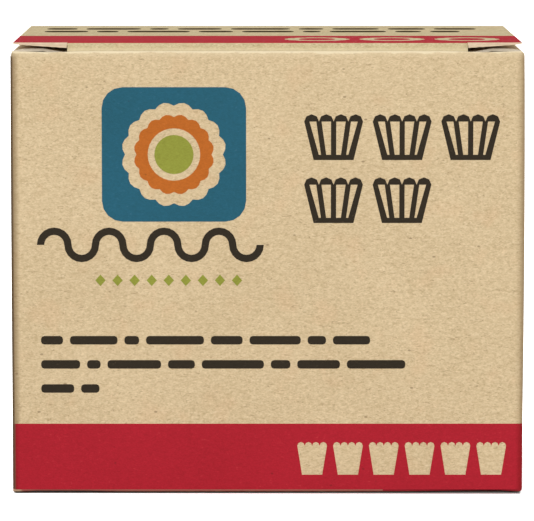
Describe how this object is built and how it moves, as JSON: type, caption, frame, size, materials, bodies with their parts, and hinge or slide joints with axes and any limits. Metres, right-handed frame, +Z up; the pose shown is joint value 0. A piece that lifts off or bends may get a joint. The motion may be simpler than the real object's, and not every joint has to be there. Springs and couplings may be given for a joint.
{
  "type": "folding carton of cupcake liners",
  "caption": "Kraft paperboard folding carton with a tucked hinged lid and a printed red band, holding a nested stack of fluted paper cupcake liners.",
  "frame": {"origin": "centre of the carton's footprint, on the surface it stands on", "axes": "+X to the right along the front panel, -Y out of the front panel, +Z up; the lid's hinge line runs along X at the top of the back panel"},
  "size_m": [0.084, 0.054, 0.0742],
  "materials": {
    "kraft_board": "matte",
    "kraft_lid_board": "matte",
    "liner_paper": "matte",
    "red_ink": "matte",
    "teal_ink": "matte",
    "orange_ink": "matte",
    "green_ink": "matte",
    "brown_ink": "matte",
    "red_lid_ink": "matte",
    "brown_lid_ink": "matte"
  },
  "bodies": {
    "carton": {"carton_body": "kraft_board", "liner_stack": "liner_paper", "red_band": "red_ink", "teal_tile": "teal_ink", "orange_ring": "orange_ink", "green_shapes": "green_ink", "brown_shapes": "brown_ink"},
    "lid": {"lid": "kraft_lid_board", "lid_stripe": "red_lid_ink", "lid_bars": "brown_lid_ink"}
  },
  "joints": [
    {"name": "lid_hinge", "type": "hinge", "parent": "carton", "child": "lid", "pos_m": [0, 0.027, 0.07375], "axis": [-1, 0, 0], "range_deg": [0, 120]}
  ]
}
